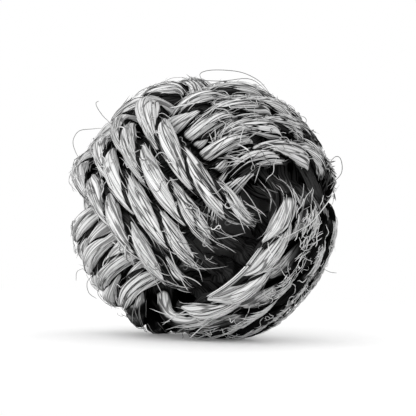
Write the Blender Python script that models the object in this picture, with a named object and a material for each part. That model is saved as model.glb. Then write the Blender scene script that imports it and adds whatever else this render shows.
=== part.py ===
"""Monkey's fist: one unbroken rope wound in three crossing bands round a ball.

The knot has three bands of parallel turns, each square to the other two.
On every face of the knot one band lies outside and another lies under it,
in a cycle, so that the three bands lock each other round the ball.
Sizes are in metres and angles in degrees. +Z is up, and the knot stands on z = 0.
The angles and corner lengths suit four turns. With another number of turns they are set
again until the least gap that the script prints is more than 0.4 mm.
"""

import math

import bmesh
import bpy
import numpy as np
from mathutils import Euler

# Rope and turns
ROPE_DIAMETER = 0.010
TURNS = 4                  # turns of rope in each band
TURN_GAP = 0.00055         # between neighbouring turns of one band
LAYER_GAP = 0.0009         # between a turn and the turn that it crosses
BALL_GAP = 0.0003          # between the ball and the rope round it
DIVE_ROOM = 0.0022         # spare room where a turn dives between the two that cross it

# Shape of a turn
RISE_START = 9.0           # a turn stays outside this far past the last turn under it
RISE_END = 6.5             # and is down this far short of the first turn over it
SHIFT_SPAN = 64.0          # angle over which a turn moves across to the next lane
SHIFT_LEAD = 23.0          # the first band shifts this much early, the last this much late
SHIFT_STAGGER = 4.5        # each turn shifts this much before the one wound before it
CORNER_ANGLE = 15.0        # a band ends this far past the middle of its last face
CORNER_LEAVE = 0.0128      # how far the rope runs on before it turns a corner
CORNER_ARRIVE = 0.0153     # how far it runs straight after the corner
CORNER_BULGE = 0.0015      # how far it stands out at the corner
TUCK_ANGLE = 15.0          # the two ends stop this far past the middle of the layer over them

# How the rope and the ball are drawn
TURN_POINTS = 24           # points along one turn
CORNER_POINTS = 3          # points along a corner
BALL_SEGMENTS = 32
BALL_RINGS = 18
SHARP_ANGLE = 70.0         # an edge of a mesh that is sharper than this stays sharp

# How the gap of the rope to itself is measured
GAP_SAMPLES = 12           # places tested along each stretch between two points
NEAR_REACH = 2.2 * ROPE_DIAMETER   # rope nearer than this along its length is the same stretch

# How the knot lies, as turns about X, then Y, then Z, and the flat that it stands on
KNOT_TILT = (75.5, 39.7, -39.9)
SEAT_CUT = ROPE_DIAMETER / 10

# Sizes that follow
TURN_PITCH = ROPE_DIAMETER + TURN_GAP
LAYER_STEP = ROPE_DIAMETER + LAYER_GAP
LAST_LANE = (TURNS - 1) / 2 * TURN_PITCH
SAME_PLACE = ROPE_DIAMETER / 1000   # points closer than this are welded


def dive_room(inner):
    """Spare room between the turn crossed and the turn gone under, for an inner layer's radius."""
    below = math.sqrt(inner ** 2 - 2 * LAST_LANE ** 2) - LAST_LANE
    above = math.sqrt((inner + LAYER_STEP) ** 2 - 2 * LAST_LANE ** 2) - LAST_LANE
    return math.hypot(below, above) - 2 * LAYER_STEP


def least_inner_radius():
    """Radius of the inner layer at which a diving turn has its room, found by halving."""
    low = 1.5 * LAST_LANE
    high = 4 * (LAST_LANE + LAYER_STEP)
    while high - low > SAME_PLACE / 1000:
        middle = (low + high) / 2
        if dive_room(middle) < DIVE_ROOM:
            low = middle
        else:
            high = middle
    return high


INNER_RADIUS = least_inner_radius()
OUTER_RADIUS = INNER_RADIUS + LAYER_STEP
BALL_RADIUS = INNER_RADIUS - ROPE_DIAMETER / 2 - BALL_GAP


def unit(vector):
    return vector / np.linalg.norm(vector)


def ease(x):
    """Rises from 0 to 1 with no kink at either end."""
    return (1 - math.cos(math.pi * min(max(x, 0.0), 1.0))) / 2


def layer_radius(angle, lane):
    """Distance from the knot's middle to the rope, at an angle from the band's outer side."""
    fold = abs((angle + 90) % 180 - 90)
    under = math.sqrt(INNER_RADIUS ** 2 - lane ** 2)
    over = math.sqrt(OUTER_RADIUS ** 2 - lane ** 2)
    start = math.degrees(math.asin(LAST_LANE / under)) + RISE_START
    end = 90 - math.degrees(math.asin(LAST_LANE / over)) - RISE_END
    return OUTER_RADIUS - LAYER_STEP * ease((fold - start) / (end - start))


def lane_at(angle, lead):
    """Offset of the rope along its band's axis, which steps one lane in each turn."""
    lane = -LAST_LANE
    for turn in range(TURNS - 1):
        middle = 360 * turn + 270 + lead + SHIFT_STAGGER * ((TURNS - 2) / 2 - turn)
        lane += TURN_PITCH * ease((angle - middle) / SHIFT_SPAN + 0.5)
    return lane


def band_points(outer, inner, axis, first, last, lead):
    """Points of one band: outside along the outer axis, and underneath along the inner one."""
    step = 360 / TURN_POINTS
    chord = 1 / math.cos(math.radians(step / 2))
    count = round((last - first) / step)
    points = []
    for angle in np.linspace(first, last, count + 1):
        lane = lane_at(angle, lead)
        radius = math.sqrt(layer_radius(angle, lane) ** 2 - lane ** 2)
        t = math.radians(angle)
        place = radius * (math.cos(t) * outer + math.sin(t) * inner) + lane * axis
        points.append(place * chord)
    return points


def corner_points(before, after):
    """Points where the rope leaves one band and turns a corner of the knot into the next."""
    start, end = before[-1], after[0]
    leave = start + unit(before[-1] - before[-2]) * CORNER_LEAVE
    arrive = end - unit(after[1] - after[0]) * CORNER_ARRIVE
    points = []
    for t in np.linspace(0, 1, CORNER_POINTS + 2)[1:-1]:
        place = (1 - t) ** 3 * start + 3 * (1 - t) ** 2 * t * leave
        place += 3 * (1 - t) * t ** 2 * arrive + t ** 3 * end
        radius = OUTER_RADIUS + CORNER_BULGE * math.sin(math.pi * t) ** 2
        points.append(unit(place) * radius)
    return points


def rope_route():
    """The whole rope, from one tucked end to the other, about the knot's middle."""
    x, y, z = np.eye(3)
    last = 360 * (TURNS - 1)
    before = 180 + last + CORNER_ANGLE
    first_band = band_points(x, y, z, TUCK_ANGLE - 90, before, -SHIFT_LEAD)
    second_band = band_points(z, x, y, -CORNER_ANGLE, before, 0.0)
    third_band = band_points(y, z, x, -CORNER_ANGLE, 270 - TUCK_ANGLE + last, SHIFT_LEAD)
    route = first_band + corner_points(first_band, second_band) + second_band
    route += corner_points(second_band, third_band) + third_band
    for tip, near in ((0, 1), (-1, -2)):
        route[tip] = route[near] + unit(route[tip] - route[near]) * ROPE_DIAMETER
    return np.array(route)


def least_gap(route):
    """Least gap of the rope to itself, measured on points close together along its middle."""
    share = np.arange(GAP_SAMPLES)[:, None] / GAP_SAMPLES
    stretches = [a + (b - a) * share for a, b in zip(route[:-1], route[1:])]
    points = np.vstack(stretches + [route[-1:]])
    steps = np.linalg.norm(np.diff(points, axis=0), axis=1)
    along = np.concatenate(([0.0], np.cumsum(steps)))
    least = math.inf
    for place, run in zip(points, along):
        other = along > run + NEAR_REACH
        if other.any():
            least = min(least, np.linalg.norm(points[other] - place, axis=1).min())
    return least - ROPE_DIAMETER


def material(name, color, roughness):
    made = bpy.data.materials.new(name)
    made.use_nodes = True
    shader = made.node_tree.nodes["Principled BSDF"]
    shader.inputs["Base Color"].default_value = (*color, 1)
    shader.inputs["Roughness"].default_value = roughness
    shader.inputs["Metallic"].default_value = 0.0
    made.diffuse_color = (*color, 1)
    return made


def collection(name):
    made = bpy.data.collections.new(name)
    bpy.context.scene.collection.children.link(made)
    return made


def rope_curve(route):
    """The rope as a tube along the route."""
    curve = bpy.data.curves.new("rope_curve", "CURVE")
    curve.dimensions = "3D"
    curve.bevel_depth = ROPE_DIAMETER / 2
    curve.bevel_resolution = 1
    curve.use_fill_caps = True
    spline = curve.splines.new("POLY")
    spline.points.add(len(route) - 1)
    for point, place in zip(spline.points, route):
        point.co = (*place, 1)
    return bpy.data.objects.new("rope_curve", curve)


def meshed(source, name, parts):
    """A mesh object made from a curve object, with its caps welded and the curve removed."""
    parts.objects.link(source)
    source.rotation_euler = Euler([math.radians(turn) for turn in KNOT_TILT])
    graph = bpy.context.evaluated_depsgraph_get()
    mesh = bpy.data.meshes.new_from_object(source.evaluated_get(graph))
    mesh.name = name
    shape = bmesh.new()
    shape.from_mesh(mesh)
    bmesh.ops.remove_doubles(shape, verts=shape.verts, dist=SAME_PLACE)
    bmesh.ops.recalc_face_normals(shape, faces=shape.faces)
    shape.to_mesh(mesh)
    shape.free()
    made = bpy.data.objects.new(name, mesh)
    made.matrix_world = source.matrix_world
    parts.objects.link(made)
    bpy.data.objects.remove(source)
    return made


def seat_place(knot):
    """Where the knot's middle goes, so that it stands over the origin and is cut SEAT_CUT deep."""
    turned = [knot.matrix_world @ vertex.co for vertex in knot.data.vertices]
    low = [min(place[side] for place in turned) for side in range(3)]
    high = [max(place[side] for place in turned) for side in range(3)]
    return (-(low[0] + high[0]) / 2, -(low[1] + high[1]) / 2, -low[2] - SEAT_CUT)


def ground_cutter(cutters):
    """A block under z = 0 that cuts the rope flat where the knot stands."""
    size = 4 * OUTER_RADIUS
    mesh = bpy.data.meshes.new("ground_cutter")
    shape = bmesh.new()
    bmesh.ops.create_cube(shape, size=size)
    shape.to_mesh(mesh)
    shape.free()
    made = bpy.data.objects.new("ground_cutter", mesh)
    made.location = (0, 0, -size / 2)
    made.hide_render = True
    made.display_type = "WIRE"
    cutters.objects.link(made)
    return made


def make_rope(parts, cutters):
    route = rope_route()
    print("rope: least gap to itself %.2f mm" % (1000 * least_gap(route)))
    length = np.linalg.norm(np.diff(route, axis=0), axis=1).sum()
    print("rope: length %.3f m, knot %.1f mm across" % (length, 2000 * OUTER_RADIUS + 1000 * ROPE_DIAMETER))
    rope = meshed(rope_curve(route), "rope", parts)
    rope.location = seat_place(rope)
    rope.data.shade_smooth()
    rope.data.set_sharp_from_angle(angle=math.radians(SHARP_ANGLE))
    rope.data.materials.append(material("rope_fibre", (0.72, 0.72, 0.70), 0.85))
    cut = rope.modifiers.new("seat", "BOOLEAN")
    cut.operation = "DIFFERENCE"
    cut.solver = "EXACT"
    cut.object = ground_cutter(cutters)
    return rope


def make_ball(parts, place):
    mesh = bpy.data.meshes.new("core_ball")
    shape = bmesh.new()
    bmesh.ops.create_uvsphere(shape, u_segments=BALL_SEGMENTS, v_segments=BALL_RINGS, radius=BALL_RADIUS)
    shape.to_mesh(mesh)
    shape.free()
    mesh.shade_smooth()
    mesh.materials.append(material("dark_ball", (0.012, 0.012, 0.013), 0.6))
    ball = bpy.data.objects.new("core_ball", mesh)
    ball.location = place
    parts.objects.link(ball)
    return ball


def main():
    for old in list(bpy.data.objects):
        bpy.data.objects.remove(old)
    parts = collection("monkey_fist")
    cutters = collection("cutters")
    rope = make_rope(parts, cutters)
    make_ball(parts, rope.location)


main()
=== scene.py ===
"""Looks of the monkey's fist: three twisted strands of rough fibre along the rope's own route.

Lengths are in metres, in the frame of the solids. Angles are in degrees, except where a comment says
radians. A pair of numbers is a least and a most value, or where something starts and is complete.
"""

import math

import bpy
import numpy as np
from mathutils import Euler, Matrix, Vector


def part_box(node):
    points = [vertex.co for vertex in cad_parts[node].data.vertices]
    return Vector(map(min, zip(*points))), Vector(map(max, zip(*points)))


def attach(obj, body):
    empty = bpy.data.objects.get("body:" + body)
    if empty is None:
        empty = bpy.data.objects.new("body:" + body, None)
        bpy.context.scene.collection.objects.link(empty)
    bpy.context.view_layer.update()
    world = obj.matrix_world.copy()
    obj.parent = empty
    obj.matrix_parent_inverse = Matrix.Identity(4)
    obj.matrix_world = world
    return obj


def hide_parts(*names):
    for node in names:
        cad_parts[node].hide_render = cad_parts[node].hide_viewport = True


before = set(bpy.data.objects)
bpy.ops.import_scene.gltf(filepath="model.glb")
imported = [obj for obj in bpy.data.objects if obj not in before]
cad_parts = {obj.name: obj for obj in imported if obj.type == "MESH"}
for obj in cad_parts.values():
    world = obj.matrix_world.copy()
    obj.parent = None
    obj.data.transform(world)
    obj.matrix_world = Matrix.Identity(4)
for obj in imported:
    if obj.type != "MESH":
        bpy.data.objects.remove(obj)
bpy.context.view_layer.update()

# Route of the rope, the same formula as in the solids
ROPE_DIAMETER = 0.010
TURNS = 4
TURN_GAP = 0.00055
LAYER_GAP = 0.0009
DIVE_ROOM = 0.0022
RISE_START = 9.0
RISE_END = 6.5
SHIFT_SPAN = 64.0
SHIFT_LEAD = 23.0
SHIFT_STAGGER = 4.5
CORNER_ANGLE = 15.0
CORNER_LEAVE = 0.0128
CORNER_ARRIVE = 0.0153
CORNER_BULGE = 0.0015
TUCK_ANGLE = 15.0
KNOT_TILT = (75.5, 39.7, -39.9)
TURN_PITCH = ROPE_DIAMETER + TURN_GAP
LAYER_STEP = ROPE_DIAMETER + LAYER_GAP
LAST_LANE = (TURNS - 1) / 2 * TURN_PITCH

# How finely the rope is drawn
ROUTE_STEP_ANGLE = 2.5
ROUTE_SPACING = 0.0005
ROUTE_SMOOTHING = 0.0018
SEAM_SMOOTHING = 0.004
CORNER_STEPS = 24
RADIUS_TOLERANCE = 1e-6 * ROPE_DIAMETER
ANY_DIRECTION = (0.3, 0.5, 0.8)
RING_POINTS = 28
RING_STEP = 0.0011  # between rings of a strand in the open
BURIED_RING_STEP = 0.0032
OPEN_DEPTH = 0.75 * ROPE_DIAMETER  # rope less far below the outer layer than this is in the open
OPEN_MARGIN = 8  # steps of the route over which the open stretches spread
OPEN_LEAST = 0.02

# The strands of the rope
STRANDS = 3
STRAND_OFFSET = 0.268 * ROPE_DIAMETER  # from the rope's middle to the strand's middle
STRAND_THICKNESS = 0.225 * ROPE_DIAMETER  # half, measured outward
STRAND_WIDTH = 0.33 * ROPE_DIAMETER  # half, measured round the rope
THINNEST = 0.80  # share of the thickness that is left where a strand goes under
BURIED_SWELL = 0.10  # how much fuller the rope is where it is pressed underneath
BURIED_DEPTHS = (0.2 * ROPE_DIAMETER, 0.8 * ROPE_DIAMETER)  # below the outer layer
CROWN_SPAN = (-0.5, 0.92)  # cosines of the strand's angle round the rope, from its edges to its crown
FIBRE_DRIFT = 1.10  # how far the fibres turn back against the strand
RIDGE_HEIGHT = 0.00011
RIDGE_LENGTH = 7.0  # rings that a ridge runs on for

# The lobes, which are the stretches of a strand between two seams
LOBE_LENGTH = 1.6 * ROPE_DIAMETER  # along the rope, from one strand's crown to the next one's
HALF_LOBE = 0.5
LOBE_BLEND = (0.3, 0.7)
LOBE_PINCH = (0.50, 0.78)  # how much a strand narrows where it goes under
LOBE_WIDENING = (-1.2, 0.8)
LOBE_WIDTH_CHANGE = 0.11
LOBE_LIFT = 0.022 * ROPE_DIAMETER
LOBE_SHIFT = 0.030 * ROPE_DIAMETER
THIRD_BAND_UNEVENNESS = 1.7  # how much more the lobes of the third band differ
THIRD_BAND_PINCH = 1.15
LEFT_SIDE = (-0.2, 0.4)
LEFT_FULLNESS = 0.55  # the third band's lobes are pinched this much less on the left
UPPER_FACE = (0.30, 0.70)
UPPER_PINCH = 0.22
UPPER_SLIMNESS = 0.07

# Places in millimetres along the rope, counted from its start
SEAMS = (  # where a seam is in the middle of the view
    542, 558, 574, 590, 802, 816, 830, 846, 861, 998, 1011, 1026, 1042,
    1252, 1270, 1289, 1306, 1511, 1529, 1551, 1569, 1767, 1784, 1804, 1822,
    2066, 2080, 2328, 2342, 2356, 2589, 2603, 2617, 2845, 2859, 2873,
)
TAPERED_ENDS = (1054, 1308, 1571, 1831)
# where the rope is darkened as painted shade near its dives
DARK_ENDS = (92, 347, 609, 868)
DARK_STARTS = (25, 280, 534, 789)

# From those places in metres: where a change starts, is complete and is over, backwards for dark starts
TAPER_SPAN = (-0.012, 0.002, 0.015)
DARK_END_SPAN = (-0.011, -0.003, 0.02)
DARK_START_SPAN = (-0.005, 0.003, 0.02)
END_TAPER = 0.35

# Frayed ends: millimetres along the rope, and which way along it the ends point
FRAYED_ENDS = (
    (1052, 1), (1306, 1), (1569, 1), (1829, 1), (2020, 1), (2272, 1), (2532, 1), (2792, 1),
)
FRAYED_STARTS = ((548, -1), (806, -1))
FAN_END = ((2537, -1),)
DARK_TUFTS = ((2742, -1), (2487, -1))

# Painted shade and painted light of the rope by its side of the knot, as cosines of the angle from that
# side's middle
SHADED_UNDERSIDE = (-0.27, -0.20, -0.94)  # where the knot is painted black underneath, as shade
UNDERSIDE_SHADE_SPAN = (0.90, 0.95)
# painted shade on three turns at the lower right and on the right edge, on the front only
SHADED_FACE = (-0.10, 0.15)
SHADED_FACE_LEAN = 0.75  # less than 1, so the shaded face reaches further down than up
UNSHADED_TURN = (0.12, 0.27)
RIGHT_EDGE = (0.86, 0.95)
BACK_SIDE = (0.05, 0.40)
# painted light: paler towards the left and a little upward, and on the upper face
PAINTED_LIGHT_DIRECTION = (-0.80, 0.0, 0.15)
PAINTED_LIGHT_SPAN = (-0.45, 0.60)
PALE_FACE_SPAN = (0.30, 0.75)
BESIDE_VOID_TONE = 0.90
UPPER_TONE = 0.50
LOBE_TONE = 0.3  # share of a strand's tone that differs from lobe to lobe; the rest is paleness by side, mostly painted light

# Where a strand is open to the light; elsewhere its colour is darkened as painted shade
LIT_DISTANCES = (0.295 * ROPE_DIAMETER, 0.44 * ROPE_DIAMETER)  # from the rope's middle
LIT_FACING = (-0.35, 0.25)
LIT_DEPTHS = (1.10 * ROPE_DIAMETER, 0.50 * ROPE_DIAMETER)  # below the outer layer

# The floor under the knot
FLOOR_GAP = 0.00015
FLOOR_SOFTNESS = 0.0008  # fibres nearer to the floor than this are pressed flatter

# The bundles of fibres drawn on a strand
BUNDLE_SPREAD = 2.0  # bundles in one radius of the strand
BUNDLE_LENGTH = 0.019
STRAND_STEP = 37.0  # keeps the bundles of one strand unlike the next one's
CRACK_SCALE = 0.9
CRACK_WIDTH = 0.21
STREAK_SCALE = 4.5
STREAK_DETAIL = 4.0
STREAK_ROUGHNESS = 0.75
STREAK_STRETCH = 0.22  # scale of the streaks along the strand, less than 1 to make them longer
PATCH_SCALE = 110.0  # of the patches of painted shade
GRAIN_SCALE = 300.0  # of the core ball
BUMP_STRENGTH = 0.7
BUMP_DISTANCE = 0.0004

# Ramps: places on a scale from 0 to 1, and the value there
CRACK_RAMP = ((0.51, 0.0), (0.67, CRACK_WIDTH))
CRACK_SHARE_RAMP = ((0.28, 1.0), (0.62, 0.40))
LINE_RAMP = ((0.0, 0.004), (0.025, 0.04), (0.07, 0.92), (0.3, 1.0))
PALEST_LINE_RAMP = ((0.45, 0.0), (0.96, 0.48))
STREAK_RAMP = ((0.29, 0.12), (0.41, 0.62), (0.51, 0.94), (0.61, 1.0))
# painted shade in the crevices and where the rope dives
LIGHT_RAMP = ((0.16, 0.06), (0.34, 0.003), (0.47, 0.015), (0.56, 0.50), (0.66, 1.0))
PATCH_RAMP = ((0.35, 0.50), (0.54, 1.0))
# painted shade on the knot's dark side and underneath
PAINTED_SHADE_RAMP = ((0.30, 1.0), (0.55, 0.10), (0.80, 0.010))
# the strands' tone, random by lobe and with painted light by side
TONE_RAMP = ((0.0, 0.78), (1.0, 0.83))
CORE_RAMP = ((0.3, 0.08), (0.7, 0.16))

# Greys of the fibres, darkest and palest
PALE_FIBRES = (0.06, 0.88)
DARK_FIBRES = (0.02, 0.30)
BLACK_FIBRES = (0.004, 0.05)
HALFWAY_TONE = 0.3  # the tone at which a fibre is halfway between them
SHADED_LEAST_TONE = 0.60
PLAIN_TONE = 0.6  # how pale fibres are where the rope has neither painted light nor painted shade
# painted shade on fibres underneath the knot
UNDERSIDE_SHADE_LOSS = 0.7

# How fibres lie
RANDOM_SEED = 7
NEEDLE_SIDES = 3
NEARLY_UPRIGHT = 0.8
TIP_BLUNTNESS = 1.02
CROWN_DEPTH = 0.35 * ROPE_DIAMETER  # how far below the outer layer fibres are laid along strands
FACING_OUT = 0.2
SHADED_BARENESS = 0.9
ACROSS_SPREAD = 0.35 * ROPE_DIAMETER
BUNCH_ACROSS_SPREAD = 0.3 * ROPE_DIAMETER
BUNCH_LENGTH = 0.0012
BUNCH_WIDTH = 0.0013
CURL_WAVES = (0.5, 1.0, 1.7)  # waves along a fibre
CROWN_HEIGHT = 0.48 * ROPE_DIAMETER
CROWN_ROUNDNESS = 0.6 / ROPE_DIAMETER
END_LIFT = 0.3  # of a loose fibre, as a share of its middle's
FRAYED_LEAN = 75
FRAYED_HEIGHT = 0.46 * ROPE_DIAMETER
FRAYED_BEND = 0.25
FRAYED_SAG = (-0.1, 0.2)  # mean and spread

# Headings of fibres against the rope's direction, in radians
FIBRE_SKEW = 0.3
HEADING_SPREAD = 0.7
STRAND_LEAN = -0.53  # of the strands on the crowns
BUNCH_HEADING_SPREAD = 0.35
BUNCH_FIBRE_SPREAD = 0.13

# How thickly loose fibres lie: everywhere, more on rope with painted shade and more on the upper band
CURLY_SHARES = (0.15, 0.8, 0.15)
BUNCHED_SHARES = (0.05, 1.0, 0.12)
OUTSIDE_DEPTHS = (0.5 * ROPE_DIAMETER, 0.1 * ROPE_DIAMETER)
DARK_MARGIN = 0.005  # bare rope before its dark ends
UNDERSIDE_BARENESS = 0.75
UPPER_BAND = (0.45, 0.75)
FRONT_BAND = (0.3, 0.6)

# The view of the photograph
CAMERA_DISTANCE = 0.9
CAMERA_ELEVATION = 1.0
CAMERA_ROLL = 2.5
ROPE_PIXELS = 27.3  # the rope's diameter in the photograph
METRES_PER_PIXEL = ROPE_DIAMETER / ROPE_PIXELS
PICTURE_SIZE = 416
KNOT_PIXEL = (204.0, 210.0)
SENSOR_WIDTH = 36.0

# Light and floor
KEY_LAMP = ((-0.65, -1.0, 0.46), 1.0, 8.6)  # place, size and power
BACK_LAMP = ((0.7, 1.2, 0.9), 0.8, 6.0)
SKY_STRENGTH = 0.87
WHITE = (1, 1, 1, 1)
FLOOR_REACH = 40.0
FLOOR_GREY = 0.9
FLOOR_DROP = 0.0002
FLOOR_LIFT = 0.15  # how much whiter than its light the floor looks
SHADOW_REACH = (0.08, 0.30)  # the shadow fades to white between these distances from the knot's foot

# Pixels of the photograph that long hairs pass, outside the knot's outline and in front of it
HAIR_RINGS = 28
HAIR_HEIGHT = 0.0003  # above the crowns
STRAY_HAIRS = (
    ((205, 84), (200, 74), (213, 70), (240, 72), (259, 81), (271, 95)),
    ((196, 90), (185, 82), (192, 80), (222, 81), (250, 79), (268, 92)),
    ((104, 128), (92, 129), (79, 131), (73, 141), (76, 153), (82, 162)),
    ((115, 127), (104, 117), (98, 109), (96, 103), (99, 101)),
    ((300, 129), (305, 125), (306, 119), (302, 116)),
    ((324, 170), (335, 157), (341, 160), (341, 174), (327, 187)),
    ((318, 262), (323, 268), (330, 272), (337, 273)),
    ((92, 276), (87, 283), (89, 293), (97, 299)),
    ((100, 284), (98, 294), (107, 304), (120, 309)),
    ((84, 268), (77, 272), (76, 281)),
    ((181, 330), (183, 336), (182, 342)),
)
LOOSE_FIBRES = (
    ((300, 232), (312, 222), (326, 205), (340, 184)),
    ((243, 200), (252, 207), (262, 214)),
    ((232, 178), (246, 192), (257, 209), (262, 223)),
    ((287, 196), (285, 212), (280, 230), (268, 246)),
    ((280, 240), (296, 232), (310, 224)),
)
LOOSE_END = ((262, 247), (246, 268), (228, 284), (209, 296))
LOOSE_END_HEIGHT = 0.0006
# black yarn sunk into the dark right corner, a dark stand-in for the shade there
CORNER_YARN = ((299, 158), (309, 172), (316, 187), (321, 204))
CORNER_YARN_HEIGHT = -0.006

# Pixels between which short fibres stand on the dark turns
TANGLE_COUNT = 66
TANGLE_LEFT, TANGLE_RIGHT = 294, 322
TANGLE_TOP, TANGLE_BOTTOM = 198, 262
TANGLE_SLANT = 6  # pixels that its foot lies further left
TANGLE_HEADINGS = (88, 48)  # at its top and at its foot
TANGLE_HEADING_SPREAD = 16
TANGLE_STEPS = (1.5, 4.5)  # pixels
TANGLE_STEP_COUNT = 4
TANGLE_WANDER = 0.20  # radians
TANGLE_HEIGHT = -0.0002


def unit(vectors):
    return vectors / np.linalg.norm(vectors, axis=-1, keepdims=True)


def ease(x):
    return (1 - np.cos(np.pi * np.clip(x, 0, 1))) / 2


def smoothstep(low, high, x):
    t = np.clip((x - low) / (high - low), 0, 1)
    return t * t * (3 - 2 * t)


# The route
def dive_room(inner):
    below = math.sqrt(inner ** 2 - 2 * LAST_LANE ** 2) - LAST_LANE
    above = math.sqrt((inner + LAYER_STEP) ** 2 - 2 * LAST_LANE ** 2) - LAST_LANE
    return math.hypot(below, above) - 2 * LAYER_STEP


def least_inner_radius():
    low, high = 1.5 * LAST_LANE, 4 * (LAST_LANE + LAYER_STEP)
    while high - low > RADIUS_TOLERANCE:
        middle = (low + high) / 2
        if dive_room(middle) < DIVE_ROOM:
            low = middle
        else:
            high = middle
    return high


INNER_RADIUS = least_inner_radius()
OUTER_RADIUS = INNER_RADIUS + LAYER_STEP


def layer_radius(angle, lane):
    fold = abs((angle + 90) % 180 - 90)
    under = math.sqrt(INNER_RADIUS ** 2 - lane ** 2)
    over = math.sqrt(OUTER_RADIUS ** 2 - lane ** 2)
    start = math.degrees(math.asin(LAST_LANE / under)) + RISE_START
    end = 90 - math.degrees(math.asin(LAST_LANE / over)) - RISE_END
    return OUTER_RADIUS - LAYER_STEP * ease((fold - start) / (end - start))


def lane_at(angle, lead):
    lane = -LAST_LANE
    for turn in range(TURNS - 1):
        middle = 360 * turn + 270 + lead + SHIFT_STAGGER * ((TURNS - 2) / 2 - turn)
        lane += TURN_PITCH * ease((angle - middle) / SHIFT_SPAN + 0.5)
    return lane


def band_points(outer, inner, axis, first, last, lead):
    points = []
    for angle in np.linspace(first, last, round((last - first) / ROUTE_STEP_ANGLE) + 1):
        lane = lane_at(angle, lead)
        radius = math.sqrt(layer_radius(angle, lane) ** 2 - lane ** 2)
        t = math.radians(angle)
        points.append(radius * (math.cos(t) * outer + math.sin(t) * inner) + lane * axis)
    return points


def corner_points(before, after):
    start, end = before[-1], after[0]
    leave = start + unit(before[-1] - before[-2]) * CORNER_LEAVE
    arrive = end - unit(after[1] - after[0]) * CORNER_ARRIVE
    points = []
    for t in np.linspace(0, 1, CORNER_STEPS + 2)[1:-1]:
        place = (1 - t) ** 3 * start + 3 * (1 - t) ** 2 * t * leave
        place = place + 3 * (1 - t) * t ** 2 * arrive + t ** 3 * end
        points.append(unit(place) * (OUTER_RADIUS + CORNER_BULGE * math.sin(math.pi * t) ** 2))
    return points


def knot_route():
    """Points of the rope about the knot's middle, and the number of the first point after each band."""
    x, y, z = np.eye(3)
    last = 360 * (TURNS - 1)
    before = 180 + last + CORNER_ANGLE
    first_band = band_points(x, y, z, TUCK_ANGLE - 90, before, -SHIFT_LEAD)
    second_band = band_points(z, x, y, -CORNER_ANGLE, before, 0.0)
    third_band = band_points(y, z, x, -CORNER_ANGLE, 270 - TUCK_ANGLE + last, SHIFT_LEAD)
    route = first_band + corner_points(first_band, second_band) + second_band
    ends = [len(first_band), len(route)]
    route += corner_points(second_band, third_band) + third_band
    return np.array(route), ends


def blurred(values, width):
    """Values smoothed along their first axis by a bell curve that many steps wide."""
    reach = int(3 * width) + 1
    bell = np.exp(-0.5 * (np.arange(-reach, reach + 1) / width) ** 2)
    bell /= bell.sum()
    padded = np.pad(values, [(reach, reach)] + [(0, 0)] * (values.ndim - 1), mode="edge")
    flat = padded.reshape(len(padded), -1)
    out = np.stack([np.convolve(column, bell, "valid") for column in flat.T], axis=1)
    return out.reshape(values.shape)


def lengths_along(points):
    return np.concatenate(([0.0], np.cumsum(np.linalg.norm(np.diff(points, axis=0), axis=1))))


class Rope:
    """The rope's middle line, evenly spaced, with a frame that never spins about it."""

    def __init__(self):
        rough, ends = knot_route()
        along = lengths_along(rough)
        self.length = along[-1]
        self.band_ends = along[ends]
        self.s = np.linspace(0, self.length, int(self.length / ROUTE_SPACING))
        points = np.stack([np.interp(self.s, along, rough[:, i]) for i in range(3)], axis=1)
        points = blurred(points, ROUTE_SMOOTHING / ROUTE_SPACING)
        self.turn = np.array(Euler([math.radians(t) for t in KNOT_TILT]).to_matrix())
        low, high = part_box("core_ball")
        self.middle = np.array((low + high) / 2)
        self.points = points @ self.turn.T + self.middle
        self.tangent = unit(np.gradient(self.points, axis=0))
        self.out = unit(self.points - self.middle)
        self.radius = np.linalg.norm(self.points - self.middle, axis=1)
        self.side = self.steady_sides()
        self.up = np.cross(self.tangent, self.side)
        facing = np.arctan2((self.out * self.up).sum(-1), (self.out * self.side).sum(-1))
        self.facing = np.unwrap(facing)
        self.phase = self.lay_phase()

    def steady_sides(self):
        side = np.cross(self.tangent[0], ANY_DIRECTION)
        sides = []
        for tangent in self.tangent:
            side = side - tangent * (side @ tangent)
            side = side / np.linalg.norm(side)
            sides.append(side)
        return np.array(sides)

    def lay_phase(self):
        """Angle that the strands have turned through, right-handed, with a seam in view at all SEAMS."""
        viewer = -np.array(camera_axes()[2])
        seen = np.arctan2(self.up @ viewer, self.side @ viewer)
        aside = (seen - self.facing + np.pi) % (2 * np.pi) - np.pi
        aside *= STRANDS / (2 * np.pi)
        number = HALF_LOBE
        places, lobes = [0.0], [number]
        for seam in SEAMS:
            place = seam / 1000
            number += max(1, round((place - places[-1]) / LOBE_LENGTH))
            places.append(place)
            lobes.append(number + np.interp(place, self.s, aside))
        lobes.append(lobes[-1] + (self.length - places[-1]) / LOBE_LENGTH)
        places.append(self.length)
        count = blurred(np.interp(self.s, places, lobes), SEAM_SMOOTHING / ROUTE_SPACING)
        return self.facing + 2 * np.pi / STRANDS * count

    def at(self, s, name):
        """One of the rope's lists, read at any places along it."""
        values = getattr(self, name)
        if values.ndim == 1:
            return np.interp(s, self.s, values)
        return np.stack([np.interp(s, self.s, values[:, i]) for i in range(3)], axis=-1)


# Meshes
def tube_faces(rings, sides):
    """Faces of a tube of that many rings, open at its two ends."""
    ring = np.arange(rings - 1)[:, None] * sides
    point = np.arange(sides)[None, :]
    after = (point + 1) % sides
    quads = np.stack([ring + point, ring + after, ring + sides + after, ring + sides + point], axis=-1)
    return quads.reshape(-1, 4)


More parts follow.
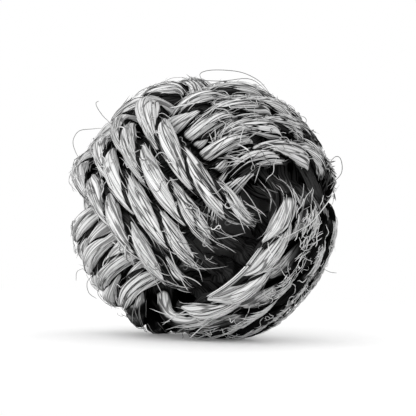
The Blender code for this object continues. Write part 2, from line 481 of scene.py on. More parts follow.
def build_mesh(name, vertices, quads, caps, finish, values, vectors=None):
    """A mesh object from lists of corners, with values kept on its points for its material."""
    mesh = bpy.data.meshes.new(name)
    loops = np.concatenate([quads.ravel(), caps.ravel()])
    sizes = np.repeat([quads.shape[1], caps.shape[1]], [len(quads), len(caps)])
    starts = np.concatenate([[0], np.cumsum(sizes)[:-1]])
    mesh.vertices.add(len(vertices))
    mesh.vertices.foreach_set("co", vertices.astype(np.float32).ravel())
    mesh.loops.add(len(loops))
    mesh.loops.foreach_set("vertex_index", loops.astype(np.int32))
    mesh.polygons.add(len(sizes))
    mesh.polygons.foreach_set("loop_start", starts.astype(np.int32))
    mesh.polygons.foreach_set("loop_total", sizes.astype(np.int32))
    mesh.update(calc_edges=True)
    mesh.validate()
    mesh.shade_smooth()
    for key, data in values.items():
        field = mesh.attributes.new(key, "FLOAT", "POINT")
        field.data.foreach_set("value", data.astype(np.float32).ravel())
    for key, data in (vectors or {}).items():
        field = mesh.attributes.new(key, "FLOAT_VECTOR", "POINT")
        field.data.foreach_set("vector", data.astype(np.float32).ravel())
    mesh.materials.append(finish)
    made = bpy.data.objects.new(name, mesh)
    bpy.context.scene.collection.objects.link(made)
    return made


def needles(name, paths, radii, finish, values):
    """Thin pointed fibres: paths has one row of points for each fibre."""
    count, rings = paths.shape[:2]
    along = unit(np.gradient(paths, axis=1))
    helper = np.where(np.abs(along[..., 2:3]) < NEARLY_UPRIGHT, (0.0, 0.0, 1.0), (1.0, 0.0, 0.0))
    first = unit(np.cross(along, helper))
    second = np.cross(along, first)
    turn = np.linspace(0, 2 * np.pi, NEEDLE_SIDES, endpoint=False)
    ring = np.cos(turn)[:, None] * first[..., None, :] + np.sin(turn)[:, None] * second[..., None, :]
    vertices = paths[..., None, :] + radii[..., None, None] * ring
    shift = np.arange(count)[:, None, None] * rings * NEEDLE_SIDES
    quads = (tube_faces(rings, NEEDLE_SIDES)[None] + shift).reshape(-1, 4)
    first_tip = np.arange(NEEDLE_SIDES)[::-1]
    last_tip = np.arange(NEEDLE_SIDES) + (rings - 1) * NEEDLE_SIDES
    caps = (np.array([first_tip, last_tip])[None] + shift).reshape(-1, NEEDLE_SIDES)
    spread = {key: np.repeat(data, rings * NEEDLE_SIDES) for key, data in values.items()}
    return build_mesh(name, vertices.reshape(-1, 3), quads, caps, finish, spread)


def settled(places):
    """Points pressed flat where the knot stands on the floor."""
    result = places.copy()
    height = result[..., 2]
    room = FLOOR_SOFTNESS - FLOOR_GAP
    pressed = FLOOR_GAP + room * np.exp((height - FLOOR_SOFTNESS) / room)
    result[..., 2] = np.where(height < FLOOR_SOFTNESS, pressed, height)
    return result


def dress(piece):
    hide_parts("rope")
    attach(piece, "root")


# Painted shade and painted light by place
def painted_underside_shade(rope, place):
    """1 where the knot is painted black underneath as shade, and nearly bare of fibres."""
    return smoothstep(*UNDERSIDE_SHADE_SPAN, unit(place - rope.middle) @ unit(np.array(SHADED_UNDERSIDE)))


def painted_shade_mask(rope, place):
    """How much painted shade darkens the rope: three turns at the lower right and the knot's right edge, on
    its front, and its underside.
    """
    toward = unit(place - rope.middle)
    first, second, third = np.moveaxis(toward @ rope.turn, -1, 0)
    face = smoothstep(*SHADED_FACE, first - np.maximum(second, -SHADED_FACE_LEAN * second))
    dark_turns = 1 - smoothstep(*UNSHADED_TURN, third)
    edge = smoothstep(*RIGHT_EDGE, toward[..., 0])
    front = 1 - smoothstep(*BACK_SIDE, toward[..., 1])
    return np.maximum(np.maximum(face * dark_turns, edge) * front, painted_underside_shade(rope, place))


def pale_with_painted_light(rope, place):
    """How pale the rope is: most on the left and on the upper face, as painted light, and beside the void.
    """
    toward = unit(place - rope.middle)
    left = smoothstep(*PAINTED_LIGHT_SPAN, toward @ np.array(PAINTED_LIGHT_DIRECTION))
    beside_void = BESIDE_VOID_TONE * smoothstep(*PALE_FACE_SPAN, toward @ rope.turn[:, 0])
    upper = UPPER_TONE * smoothstep(*PALE_FACE_SPAN, toward @ rope.turn[:, 1])
    return np.maximum(np.maximum(left, beside_void), upper)


def risen(s, place, start, full, over):
    """0 until the start, 1 from where it is full, and 0 once it is over, all counted from the place."""
    return smoothstep(place + start, place + full, s) * (s < place + over)


def slimness(s):
    """Scale of the rope's strands, which taper where the second band's turns end over the corner void."""
    return 1 - END_TAPER * sum(risen(s, end / 1000, *TAPER_SPAN) for end in TAPERED_ENDS)


def buried(s):
    """1 where the rope goes dark before it dives, as its ends at the corner void do; the dark is painted
    shade.
    """
    ends = sum(risen(s, end / 1000, *DARK_END_SPAN) for end in DARK_ENDS)
    starts = sum(risen(-s, -start / 1000, *DARK_START_SPAN) for start in DARK_STARTS)
    return ends + starts


def lit_share(rope, s, place):
    """How open to the light a point of the rope is, which darkens its colour as painted shade: 0 in the
    crevices, 1 on the crowns.
    """
    offset = place - rope.at(s, "points")
    away = np.linalg.norm(offset, axis=-1)
    facing = (offset * rope.at(s, "out")).sum(-1) / away
    deepest, shallowest = LIT_DEPTHS
    depth = smoothstep(OUTER_RADIUS - deepest, OUTER_RADIUS - shallowest, rope.at(s, "radius"))
    return smoothstep(*LIT_DISTANCES, away) * smoothstep(*LIT_FACING, facing) * depth * (1 - buried(s))


# The strands
class Strand:
    """A strand of the rope: it bulges like a leaf where it lies outside and narrows where it goes under."""

    def __init__(self, rope, number, rng):
        self.rope = rope
        self.number = number
        self.turn = 2 * np.pi * number / STRANDS
        turns = self.turns_at(rope.s)
        self.first_lobe = int(np.floor(turns.min())) - 1
        lobes = int(turns.max()) - self.first_lobe + 3
        places = np.interp(self.first_lobe + np.arange(lobes), turns, rope.s)
        in_third_band = places > rope.band_ends[1]
        uneven = np.where(in_third_band, THIRD_BAND_UNEVENNESS, 1.0)
        self.widths = 1 + LOBE_WIDTH_CHANGE * uneven * rng.uniform(*LOBE_WIDENING, lobes)
        self.lifts = LOBE_LIFT * uneven * rng.standard_normal(lobes)
        self.shifts = LOBE_SHIFT * uneven * rng.standard_normal(lobes)
        self.tones = rng.uniform(0, 1, lobes)
        self.pinches = rng.uniform(*LOBE_PINCH, lobes)
        self.shape_lobes(rope.at(places, "out"), in_third_band)

    def shape_lobes(self, out, in_third_band):
        """Makes lobes fuller at the left of the third band, and slimmer on the upper face."""
        left = smoothstep(*LEFT_SIDE, -out[:, 0])
        upper = smoothstep(*UPPER_FACE, out @ self.rope.turn[:, 1])
        self.pinches *= np.where(in_third_band, THIRD_BAND_PINCH - LEFT_FULLNESS * left, 1.0)
        self.pinches *= 1 + UPPER_PINCH * upper
        self.widths *= 1 - UPPER_SLIMNESS * upper

    def turns_at(self, s):
        """Turns of the strand about the rope, a whole number where it faces away from the knot."""
        return (self.rope.at(s, "phase") + self.turn - self.rope.at(s, "facing")) / (2 * np.pi)

    def lobe_value(self, values, s):
        turns = self.turns_at(s) - self.first_lobe
        lobe = np.floor(turns).astype(int)
        share = smoothstep(*LOBE_BLEND, turns - lobe)
        return values[lobe] * (1 - share) + values[lobe + 1] * share

    def section(self, s):
        """Half the strand's thickness and half its width, and the scale of the whole rope there."""
        hidden = smoothstep(*BURIED_DEPTHS, OUTER_RADIUS - self.rope.at(s, "radius"))
        crown = np.maximum(smoothstep(*CROWN_SPAN, np.cos(2 * np.pi * self.turns_at(s))), hidden)
        pinch = self.lobe_value(self.pinches, s) * (1 - crown)
        width = STRAND_WIDTH * (1 - pinch) * self.lobe_value(self.widths, s)
        thickness = STRAND_THICKNESS * (THINNEST + (1 - THINNEST) * crown)
        return thickness, width, slimness(s) * (1 + BURIED_SWELL * hidden)

    def surface(self, s, angle, lift):
        """Points at an angle about the strand's own middle, 0 being outward, and a height above it."""
        rope = self.rope
        phase = (rope.at(s, "phase") + self.turn)[..., None]
        side, up = rope.at(s, "side"), rope.at(s, "up")
        outward = np.cos(phase) * side + np.sin(phase) * up
        across = np.cos(phase) * up - np.sin(phase) * side
        thickness, width, slim = self.section(s)
        height = slim * (STRAND_OFFSET + self.lobe_value(self.lifts, s))
        height = height + (slim * thickness + lift) * np.cos(angle)
        slide = self.lobe_value(self.shifts, s) + (slim * width + lift) * np.sin(angle)
        return rope.at(s, "points") + height[..., None] * outward + slide[..., None] * across


def ring_places(rope):
    """Places along the rope for the strands' rings: close together outside, far apart underneath."""
    outside = rope.radius > OUTER_RADIUS - OPEN_DEPTH
    in_the_open = blurred(outside.astype(float), OPEN_MARGIN) > OPEN_LEAST
    spacing = np.where(in_the_open, RING_STEP, BURIED_RING_STEP)
    places = [0.0]
    while places[-1] < rope.length:
        step = spacing[min(int(places[-1] / ROUTE_SPACING), len(spacing) - 1)]
        places.append(places[-1] + step)
    places[-1] = rope.length
    return np.array(places)


def make_strand(strand, finish, rng):
    rope = strand.rope
    rings = ring_places(rope)
    s = np.broadcast_to(rings[:, None], (len(rings), RING_POINTS))
    around = np.linspace(0, 2 * np.pi, RING_POINTS, endpoint=False)
    angle = around[None, :] - FIBRE_DRIFT * rope.at(s, "phase")
    ridges = blurred(rng.standard_normal(angle.shape), RIDGE_LENGTH)
    ridges /= ridges.std()
    vertices = strand.surface(s, angle, RIDGE_HEIGHT * ridges)
    fibre = np.broadcast_arrays(
        BUNDLE_SPREAD * np.cos(around),
        BUNDLE_SPREAD * np.sin(around),
        s / BUNDLE_LENGTH + STRAND_STEP * strand.number,
    )
    first_cap = np.arange(RING_POINTS)[::-1]
    last_cap = np.arange(RING_POINTS) + (len(rings) - 1) * RING_POINTS
    lobe_tones = strand.lobe_value(strand.tones, s)
    values = {
        # painted shade in the crevices, painted shade on the knot's dark side, and a tone from random lobe
        # tones and painted light
        "light": lit_share(rope, s, vertices),
        "painted_shade": painted_shade_mask(rope, vertices),
        "tone": LOBE_TONE * lobe_tones + (1 - LOBE_TONE) * pale_with_painted_light(rope, vertices),
    }
    return build_mesh(
        "rope_strand_%d" % (strand.number + 1),
        settled(vertices).reshape(-1, 3),
        tube_faces(len(rings), RING_POINTS),
        np.array([first_cap, last_cap]),
        finish,
        values,
        {"fibre": np.stack(fibre, axis=-1)},
    )


# The pixels of the photograph
def pixel_point(rope, pixel, height):
    """The point that a pixel shows, that far above the knot's crowns, or beside its outline."""
    right, up, forward = [np.array(axis) for axis in camera_axes()]
    offset = (np.array(pixel) - KNOT_PIXEL) * METRES_PER_PIXEL
    beside = offset[0] * right - offset[1] * up
    eye = -forward * CAMERA_DISTANCE
    ray = unit(beside - eye)
    radius = OUTER_RADIUS + ROPE_DIAMETER / 2 + height
    nearest = ray @ -eye
    room = radius ** 2 - (eye @ eye - nearest ** 2)
    if room < 0:
        return rope.middle + beside
    return rope.middle + eye + ray * (nearest - math.sqrt(room))


def smooth_path(points):
    """A curve through the points, evenly spread."""
    points = np.array(points)
    ends = np.concatenate([[2 * points[0] - points[1]], points, [2 * points[-1] - points[-2]]])
    places = np.linspace(0, len(points) - 1, HAIR_RINGS)
    first = np.minimum(places.astype(int), len(points) - 2)
    t = (places - first)[:, None]
    a, b, c, d = ends[first], ends[first + 1], ends[first + 2], ends[first + 3]
    square = 2 * a - 5 * b + 4 * c - d
    cube = 3 * b - a - 3 * c + d
    return 0.5 * (2 * b + (c - a) * t + square * t ** 2 + cube * t ** 3)


def pixel_hairs(rope, hairs, height):
    """Paths of long hairs, which start on the rope and pass the photograph's pixels."""
    points = [[pixel_point(rope, pixel, height) for pixel in hair] for hair in hairs]
    return np.array([smooth_path(hair) for hair in points])


# The loose fibres
def fibre_shares(rope):
    """How thickly fibres lie along the rope: the curly, the stout and the bunched ones."""
    deepest, shallowest = OUTSIDE_DEPTHS
    outside = smoothstep(OUTER_RADIUS - deepest, OUTER_RADIUS - shallowest, rope.radius)
    outside = outside * (1 - np.minimum(buried(rope.s + DARK_MARGIN), 1))
    outside = outside * (1 - UNDERSIDE_BARENESS * painted_underside_shade(rope, rope.points))
    front = smoothstep(*FRONT_BAND, rope.out @ rope.turn[:, 2])
    painted_shade = painted_shade_mask(rope, rope.points)
    upper = smoothstep(*UPPER_BAND, rope.out @ rope.turn[:, 1])
    curly, bunched = [
        outside * (everywhere + on_painted_shade * painted_shade + on_upper * upper)
        for everywhere, on_painted_shade, on_upper in (CURLY_SHARES, BUNCHED_SHARES)
    ]
    return curly, outside * front, bunched


class Fuzz:
    """Loose fibres, one piece for each kind, all drawn from one run of random numbers."""

    def __init__(self, rope, strands, rng):
        self.rope = rope
        self.strands = strands
        self.rng = rng
        self.pale = fibre_material("rope_fibres", *PALE_FIBRES)
        self.dark = fibre_material("dark_fibres", *DARK_FIBRES)
        self.black = fibre_material("black_fibres", *BLACK_FIBRES)

    def add(self, name, paths, finish, radius):
        """A piece of pointed fibres along the paths, each with its own tone and radius."""
        rope, rng = self.rope, self.rng
        count, rings = paths.shape[:2]
        middle = paths[:, rings // 2]
        # fibres are paler on rope with painted shade and on rope with painted light, and darker underneath
        # as painted shade
        painted_shade = painted_shade_mask(rope, middle)
        tone = rng.uniform(SHADED_LEAST_TONE * painted_shade, 1, count)
        tone *= PLAIN_TONE + (1 - PLAIN_TONE) * np.maximum(painted_shade, pale_with_painted_light(rope, middle))
        tone *= 1 - UNDERSIDE_SHADE_LOSS * painted_underside_shade(rope, middle)
        t = np.linspace(-1, 1, rings)[None, :]
        radii = rng.uniform(*radius, (count, 1)) * np.sqrt(np.clip(TIP_BLUNTNESS - t ** 4, 0, 1))
        dress(needles(name, settled(paths), radii, finish, {"tone": tone}))

    def random_places(self, weight, count):
        """Places along the rope, picked more often where the weight is higher."""
        return np.sort(self.rng.choice(self.rope.s, count, p=weight / weight.sum()))

    def on_strand(self, strand, count, length, spread, lift, end_lift, rings=8):
        """Paths of fibres that lie along a strand and lift off it towards their ends."""
        rope, rng = self.rope, self.rng
        t = np.linspace(-0.5, 0.5, rings)[None, :]
        outside = rope.radius > OUTER_RADIUS - CROWN_DEPTH
        outward = np.cos(2 * np.pi * strand.turns_at(rope.s)) > FACING_OUT
        weight = (outside & outward) * (1 - SHADED_BARENESS * painted_shade_mask(rope, rope.points))
        start = self.random_places(weight, count)[:, None]
        s = np.clip(start + rng.uniform(*length, start.shape) * t, 0, rope.length)
        angle = np.radians(rng.uniform(-spread, spread, start.shape))
        angle = angle + rng.normal(0, FIBRE_SKEW, start.shape) * t
        angle = angle - FIBRE_DRIFT * (rope.at(s, "phase") - rope.at(start, "phase"))
        rise = rng.uniform(*end_lift, (len(start), 2)) ** 2 / end_lift[1]
        height = rng.uniform(*lift, start.shape) + rise[:, :1] * np.clip(-2 * t, 0, 1) ** 3
        height = height + rise[:, 1:] * np.clip(2 * t, 0, 1) ** 3
        return strand.surface(s, angle, height)

    def on_strands(self, count, **shape):
        each = count // STRANDS
        return np.concatenate([self.on_strand(strand, each, **shape) for strand in self.strands])

    def scattered(self, weight, count):
        """Places along the rope, headings against it and places across it of single fibres."""
        start = self.random_places(weight, count)
        heading = self.rng.normal(0, HEADING_SPREAD, count) + np.pi * self.rng.integers(0, 2, count)
        return start, heading, self.rng.uniform(-1, 1, count) * ACROSS_SPREAD

    def bunched(self, weight, bunches, fibres):
        """The same for fibres in bunches, which lie side by side and mostly follow the strands."""
        rng = self.rng
        count = bunches * fibres
        start = np.repeat(self.random_places(weight, bunches), fibres)
        start = np.clip(start + rng.normal(0, BUNCH_LENGTH, count), 0, self.rope.length)
        heading = np.repeat(rng.normal(STRAND_LEAN, BUNCH_HEADING_SPREAD, bunches), fibres)
        heading = heading + rng.normal(0, BUNCH_FIBRE_SPREAD, count)
        across = np.repeat(rng.uniform(-1, 1, bunches) * BUNCH_ACROSS_SPREAD, fibres)
        return start, heading, across + rng.uniform(-1, 1, count) * BUNCH_WIDTH

    def wandering(self, places, length, lift, curl, rings=12):
        """Paths of loose fibres that wander over the rope's crowns, with a curl in radians."""
        rope, rng = self.rope, self.rng
        start, heading, aside = places
        one_each = (len(start), 1)
        out, tangent = rope.at(start, "out"), unit(rope.at(start, "tangent"))
        across = unit(np.cross(out, tangent))
        t = np.linspace(0, 1, rings)[None, :]
        step = rng.uniform(*length, one_each) / (rings - 1)
        heading = heading[:, None]
        for wave in CURL_WAVES:
            swing = curl * rng.normal(0, 1, one_each)
            heading = heading + swing * np.sin(2 * np.pi * (wave * t + rng.random(one_each)))
        forward = np.cumsum(np.cos(heading) * step, axis=1)
        sideways = np.cumsum(np.sin(heading) * step, axis=1) + aside[:, None]
        flat = rope.at(start, "points")[:, None] + forward[..., None] * tangent[:, None]
        flat = flat + sideways[..., None] * across[:, None]
        crown = CROWN_HEIGHT - CROWN_ROUNDNESS * sideways ** 2
        height = rope.at(start[:, None] + forward, "radius") + crown
        height = height + rng.uniform(*lift, one_each) * (END_LIFT + np.sin(np.pi * t))
        return rope.middle + unit(flat - rope.middle) * height[..., None]

    def frayed_end(self, end, way, count, reach, length, fan, rings=8):
        """Paths of fibres that run straight on where the rope dives."""
        rope, rng = self.rope, self.rng
        one_each = (count, 1)
        t = np.linspace(0, 1, rings)[None, :, None]
        start = end / 1000 - way * rng.uniform(0, reach, count)
        out, tangent = rope.at(start, "out"), way * unit(rope.at(start, "tangent"))
        across = unit(np.cross(out, tangent))
        lean = np.radians(rng.uniform(-FRAYED_LEAN, FRAYED_LEAN, one_each))
        base = rope.at(start, "points") + FRAYED_HEIGHT * (np.cos(lean) * out + np.sin(lean) * across)
        turn = np.radians(rng.normal(0, fan, one_each))
        heading = np.cos(turn) * tangent + np.sin(turn) * across
        bend = rng.normal(0, FRAYED_BEND, one_each) * across + rng.normal(*FRAYED_SAG, one_each) * out
        size = rng.uniform(*length, one_each)
        return base[:, None] + size[:, None] * (heading[:, None] * t + bend[:, None] * t ** 2)

    def frayed(self, ends, count, **shape):
        return np.concatenate([self.frayed_end(end, way, count, **shape) for end, way in ends])

    def side_by_side(self, pixels, count, spread):
        """Copies of one hair's pixels, each moved aside a little."""
        return [np.array(pixels) + self.rng.normal(0, spread, 2) for _ in range(count)]

    def tangle_hair(self):
        """Pixels that one of the short, mostly upright fibres of the dark turns passes."""
        rng = self.rng
        down = rng.random()
        x = rng.uniform(TANGLE_LEFT, TANGLE_RIGHT) - TANGLE_SLANT * down ** 2
        y = TANGLE_TOP + (TANGLE_BOTTOM - TANGLE_TOP) * down
        top, foot = TANGLE_HEADINGS
        heading = np.radians(rng.normal(top + (foot - top) * down, TANGLE_HEADING_SPREAD))
        step = rng.uniform(*TANGLE_STEPS)
        pixels = [(x, y)]
        for _ in range(TANGLE_STEP_COUNT):
            heading += rng.normal(0, TANGLE_WANDER)
            x, y = x + step * math.cos(heading), y - step * math.sin(heading)
            pixels.append((x, y))
        return pixels

    def lay_on_crowns(self):
        curly_share, stout_share, bunched_share = fibre_shares(self.rope)
        laid = self.on_strands(
            count=1200, length=(0.006, 0.020), spread=75, lift=(0.0, 0.00015), end_lift=(0.0, 0.0022))
        self.add("laid_fibres", laid, self.pale, radius=(0.00010, 0.00018))
        places = self.scattered(curly_share, count=420)
        curly = self.wandering(places, length=(0.0025, 0.010), lift=(0.0, 0.0008), curl=0.9)
        self.add("curly_fibres", curly, self.pale, radius=(0.00010, 0.00018))
        places = self.scattered(stout_share, count=60)
        stout = self.wandering(places, length=(0.003, 0.008), lift=(0.0, 0.0008), curl=0.8)
        self.add("stout_fibres", stout, self.pale, radius=(0.00013, 0.00024))
        places = self.bunched(bunched_share, bunches=100, fibres=8)
        straight = self.wandering(places, length=(0.003, 0.009), lift=(0.0, 0.0007), curl=0.12, rings=6)
        self.add("bunched_fibres", straight, self.pale, radius=(0.00011, 0.00023))

    def lay_at_ends(self):
        frayed = self.frayed(FRAYED_ENDS, count=10, reach=0.014, length=(0.004, 0.014), fan=14)
        self.add("frayed_fibres", frayed, self.pale, radius=(0.00011, 0.00022))
        # dark fibres at the ends that are darkened as painted shade
        dark_ends = [(end, 1) for end in DARK_ENDS]
        broken = self.frayed(dark_ends, count=12, reach=0.010, length=(0.003, 0.009), fan=20)
        worn = self.frayed(FRAYED_STARTS, count=16, reach=0.008, length=(0.005, 0.015), fan=10)
        self.add("worn_fibres", worn, self.pale, radius=(0.00012, 0.00025))
        fan = self.frayed(FAN_END, count=26, reach=0.005, length=(0.003, 0.009), fan=38)
        self.add("fan_of_fibres", fan, self.pale, radius=(0.00011, 0.00020))
        tufts = self.frayed(DARK_TUFTS, count=50, reach=0.012, length=(0.004, 0.010), fan=16)
        self.add("dark_tufts", tufts, self.black, radius=(0.00014, 0.00032))
        self.add("broken_fibres", broken, self.dark, radius=(0.00012, 0.00026))

    def lay_long_hairs(self):
        stray = pixel_hairs(self.rope, STRAY_HAIRS, HAIR_HEIGHT)
        self.add("stray_hairs", stray, self.dark, radius=(0.00011, 0.00016))
        loose = pixel_hairs(self.rope, LOOSE_FIBRES, HAIR_HEIGHT)
        self.add("loose_fibres", loose, self.pale, radius=(0.00012, 0.00020))
        hairs = self.side_by_side(LOOSE_END, count=12, spread=1.3)
        loose_end = pixel_hairs(self.rope, hairs, LOOSE_END_HEIGHT)
        self.add("loose_end", loose_end, self.pale, radius=(0.00014, 0.00028))
        # black yarn in the dark right corner, standing in for the shade there
        hairs = self.side_by_side(CORNER_YARN, count=40, spread=3.0)
        yarn = pixel_hairs(self.rope, hairs, CORNER_YARN_HEIGHT)
        self.add("corner_yarn", yarn, self.black, radius=(0.00014, 0.00034))

    def lay_in_the_dark(self):
        shaded = self.on_strands(
            count=500, length=(0.004, 0.016), spread=70, lift=(0.0, 0.00010), end_lift=(0.0, 0.0010))
        self.add("shaded_fibres", shaded, self.black, radius=(0.00008, 0.00015))
        hairs = [self.tangle_hair() for _ in range(TANGLE_COUNT)]
        upright = pixel_hairs(self.rope, hairs, TANGLE_HEIGHT)
        self.add("upright_fibres", upright, self.pale, radius=(0.00010, 0.00022))


# Materials
def node(tree, kind, **settings):
    made = tree.nodes.new(kind)
    for key, value in settings.items():
        setattr(made, key, value)
    return made


def combined(tree, operation, *values):
    """Sockets and numbers combined by one math operation."""
    made = node(tree, "ShaderNodeMath", operation=operation)
    for socket, value in zip(made.inputs, values):
        if isinstance(value, float):
            socket.default_value = value
        else:
            tree.links.new(value, socket)
    return made.outputs["Value"]


def product(tree, *factors):
    """All the factors multiplied together."""
    result = factors[0]
    for factor in factors[1:]:
        result = combined(tree, "MULTIPLY", result, factor)
    return result


def graded(tree, value, stops):
    """A value passed through a ramp of greys."""
    made = node(tree, "ShaderNodeValToRGB")
    elements = made.color_ramp.elements
    while len(elements) < len(stops):
        elements.new(0.5)
    for element, (place, grey) in zip(elements, stops):
        element.position = place
        element.color = (grey, grey, grey, 1)
    tree.links.new(value, made.inputs["Fac"])
    return made.outputs["Color"]


def noise(tree, vector, **settings):
    made = node(tree, "ShaderNodeTexNoise")
    for name, value in settings.items():
        made.inputs[name].default_value = value
    tree.links.new(vector, made.inputs["Vector"])
    return made.outputs["Fac"]


def kept_value(tree, name):
    """A value that the mesh keeps on its points."""
    return node(tree, "ShaderNodeAttribute", attribute_name=name).outputs["Fac"]


def new_material(name, roughness, specular):
    made = bpy.data.materials.new(name)
    made.use_nodes = True
    shader = made.node_tree.nodes["Principled BSDF"]
    shader.inputs["Roughness"].default_value = roughness
    shader.inputs["Specular IOR Level"].default_value = specular
    return made, made.node_tree, shader


def bundle_lines(tree, fibre, distance, tone):
    """Dark lines between the bundles, widened to cracks in places, and softer where the rope is pale."""
    cracks = product(
        tree,
        graded(tree, noise(tree, fibre, Scale=CRACK_SCALE), CRACK_RAMP),
        graded(tree, tone, CRACK_SHARE_RAMP),
    )
    lines = graded(tree, combined(tree, "SUBTRACT", distance, cracks), LINE_RAMP)
    return combined(tree, "MAXIMUM", lines, graded(tree, tone, PALEST_LINE_RAMP))


def fine_streaks(tree, fibre):
    stretch = node(tree, "ShaderNodeVectorMath", operation="MULTIPLY")
    stretch.inputs[1].default_value = (1.0, 1.0, STREAK_STRETCH)
    tree.links.new(fibre, stretch.inputs[0])
    streaks = noise(
        tree,
        stretch.outputs["Vector"],
        Scale=STREAK_SCALE,
        Detail=STREAK_DETAIL,
        Roughness=STREAK_ROUGHNESS,
    )
    return graded(tree, streaks, STREAK_RAMP)


def painted_shade_patches(tree):
    """Painted shade on the knot's dark side and underneath, in patches."""
    place = node(tree, "ShaderNodeTexCoord").outputs["Object"]
    patches = graded(tree, noise(tree, place, Scale=PATCH_SCALE), PATCH_RAMP)
    return graded(tree, product(tree, kept_value(tree, "painted_shade"), patches), PAINTED_SHADE_RAMP)


def strand_material():
    made, tree, shader = new_material("rope_strands", roughness=0.85, specular=0.02)
    fibre = node(tree, "ShaderNodeAttribute", attribute_name="fibre").outputs["Vector"]
    tone = kept_value(tree, "tone")
    bundles = node(tree, "ShaderNodeTexVoronoi", feature="DISTANCE_TO_EDGE")
    bundles.inputs["Scale"].default_value = 1.0
    tree.links.new(fibre, bundles.inputs["Vector"])
    distance = bundles.outputs["Distance"]
    # bundle lines and streaks, painted shade in the crevices and on the knot's dark side, and the tone with
    # its painted light
    colour = product(
        tree,
        bundle_lines(tree, fibre, distance, tone),
        fine_streaks(tree, fibre),
        graded(tree, kept_value(tree, "light"), LIGHT_RAMP),
        painted_shade_patches(tree),
        graded(tree, tone, TONE_RAMP),
    )
    tree.links.new(colour, shader.inputs["Base Color"])
    bump = node(tree, "ShaderNodeBump")
    bump.inputs["Strength"].default_value = BUMP_STRENGTH
    bump.inputs["Distance"].default_value = BUMP_DISTANCE
    tree.links.new(distance, bump.inputs["Height"])
    tree.links.new(bump.outputs["Normal"], shader.inputs["Normal"])
    return made


def fibre_material(name, dark, light):
    made, tree, shader = new_material(name, roughness=0.7, specular=0.08)
    stops = ((0.0, dark), (HALFWAY_TONE, (dark + light) / 2), (1.0, light))
    tree.links.new(graded(tree, kept_value(tree, "tone"), stops), shader.inputs["Base Color"])
    return made


def core_material():
    made, tree, shader = new_material("core_dark", roughness=0.7, specular=0.1)
    place = node(tree, "ShaderNodeTexCoord").outputs["Generated"]
    grain = noise(tree, place, Scale=GRAIN_SCALE)
    tree.links.new(graded(tree, grain, CORE_RAMP), shader.inputs["Base Color"])
    return made


# Camera, light and floor
def camera_axes():
    """Right, up and forward of the photograph's camera."""
    rise, roll = math.radians(CAMERA_ELEVATION), math.radians(CAMERA_ROLL)
    forward = Vector((0, math.cos(rise), -math.sin(rise)))
    level = Vector((1, 0, 0))
    above = level.cross(forward)
    right = math.cos(roll) * level + math.sin(roll) * above
    return right, right.cross(forward), forward


def make_camera(target):
    right, up, forward = camera_axes()
    data = bpy.data.cameras.new("camera")
    data.sensor_width = SENSOR_WIDTH
    data.lens = SENSOR_WIDTH * CAMERA_DISTANCE / (PICTURE_SIZE * METRES_PER_PIXEL)
    made = bpy.data.objects.new("camera", data)
    across = (PICTURE_SIZE / 2 - KNOT_PIXEL[0]) * METRES_PER_PIXEL
    along = (KNOT_PIXEL[1] - PICTURE_SIZE / 2) * METRES_PER_PIXEL
    place = target + right * across + up * along - forward * CAMERA_DISTANCE
    turn = Matrix((right, up, -forward)).transposed().to_4x4()
    made.matrix_world = Matrix.Translation(place) @ turn
    bpy.context.scene.collection.objects.link(made)
    bpy.context.scene.camera = made


def make_lamp(name, target, place, size, power):
    data = bpy.data.lights.new(name, "AREA")
    data.size = size
    data.energy = power
    made = bpy.data.objects.new(name, data)
    made.location = place
    made.rotation_mode = "QUATERNION"
    made.rotation_quaternion = (target - Vector(place)).to_track_quat("-Z", "Y")
    bpy.context.scene.collection.objects.link(made)


def seen_directly(tree):
    """1 where the camera, a mirror or clear glass looks straight at the surface, 0 for other light."""
    path = node(tree, "ShaderNodeLightPath").outputs
    mirrored = combined(tree, "MAXIMUM", path["Is Glossy Ray"], path["Is Transmission Ray"])
    return combined(tree, "MAXIMUM", path["Is Camera Ray"], mirrored)


def make_world():
    world = bpy.data.worlds.new("studio")
    bpy.context.scene.world = world
    world.use_nodes = True
    tree = world.node_tree
    background = tree.nodes["Background"]
    background.inputs["Color"].default_value = WHITE
    strength = node(tree, "ShaderNodeMapRange")
    strength.inputs["To Min"].default_value = SKY_STRENGTH
    strength.inputs["To Max"].default_value = 1.0
    tree.links.new(seen_directly(tree), strength.inputs["Value"])
    tree.links.new(strength.outputs["Result"], background.inputs["Strength"])


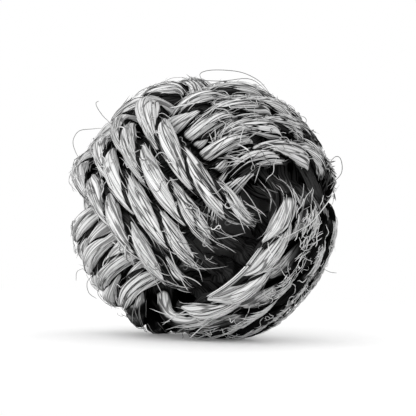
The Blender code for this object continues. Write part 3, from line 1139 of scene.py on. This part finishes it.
def beyond_the_shadow(tree):
    """0 at the knot's foot, where the floor shows its shadow, and 1 further out."""
    place = node(tree, "ShaderNodeNewGeometry")
    away = node(tree, "ShaderNodeVectorMath", operation="LENGTH")
    tree.links.new(place.outputs["Position"], away.inputs[0])
    far = node(tree, "ShaderNodeMapRange", interpolation_type="SMOOTHSTEP")
    far.inputs["From Min"].default_value = SHADOW_REACH[0]
    far.inputs["From Max"].default_value = SHADOW_REACH[1]
    tree.links.new(away.outputs["Value"], far.inputs["Value"])
    return far.outputs["Result"]


def floor_material():
    made, tree, shader = new_material("floor_white", roughness=0.9, specular=0.0)
    seen = seen_directly(tree)
    shader.inputs["Base Color"].default_value = (FLOOR_GREY, FLOOR_GREY, FLOOR_GREY, 1)
    shader.inputs["Emission Color"].default_value = WHITE
    tree.links.new(product(tree, seen, FLOOR_LIFT), shader.inputs["Emission Strength"])
    mixed = node(tree, "ShaderNodeMixShader")
    tree.links.new(product(tree, seen, beyond_the_shadow(tree)), mixed.inputs["Fac"])
    tree.links.new(shader.outputs["BSDF"], mixed.inputs[1])
    tree.links.new(node(tree, "ShaderNodeEmission").outputs["Emission"], mixed.inputs[2])
    tree.links.new(mixed.outputs["Shader"], tree.nodes["Material Output"].inputs["Surface"])
    return made


def make_floor():
    mesh = bpy.data.meshes.new("floor")
    corners = [(-1, -1), (1, -1), (1, 1), (-1, 1)]
    mesh.from_pydata([(FLOOR_REACH * x, FLOOR_REACH * y, 0) for x, y in corners], [], [(0, 1, 2, 3)])
    mesh.materials.append(floor_material())
    made = bpy.data.objects.new("floor", mesh)
    made.location.z = -FLOOR_DROP
    bpy.context.scene.collection.objects.link(made)


def make_knot():
    """The strands with their fibres, and the core ball's own material. Returns the knot's middle."""
    rope = Rope()
    rng = np.random.default_rng(RANDOM_SEED)
    finish = strand_material()
    strands = [Strand(rope, number, rng) for number in range(STRANDS)]
    for strand in strands:
        dress(make_strand(strand, finish, rng))
    fuzz = Fuzz(rope, strands, rng)
    fuzz.lay_on_crowns()
    fuzz.lay_at_ends()
    fuzz.lay_long_hairs()
    fuzz.lay_in_the_dark()
    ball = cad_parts["core_ball"]
    ball.data.materials.clear()
    ball.data.materials.append(core_material())
    return Vector(rope.middle)


def main():
    bpy.context.scene.view_settings.view_transform = "Standard"
    target = make_knot()
    make_camera(target)
    make_lamp("key", target, *KEY_LAMP)
    make_lamp("back", target, *BACK_LAMP)
    make_world()
    make_floor()


main()
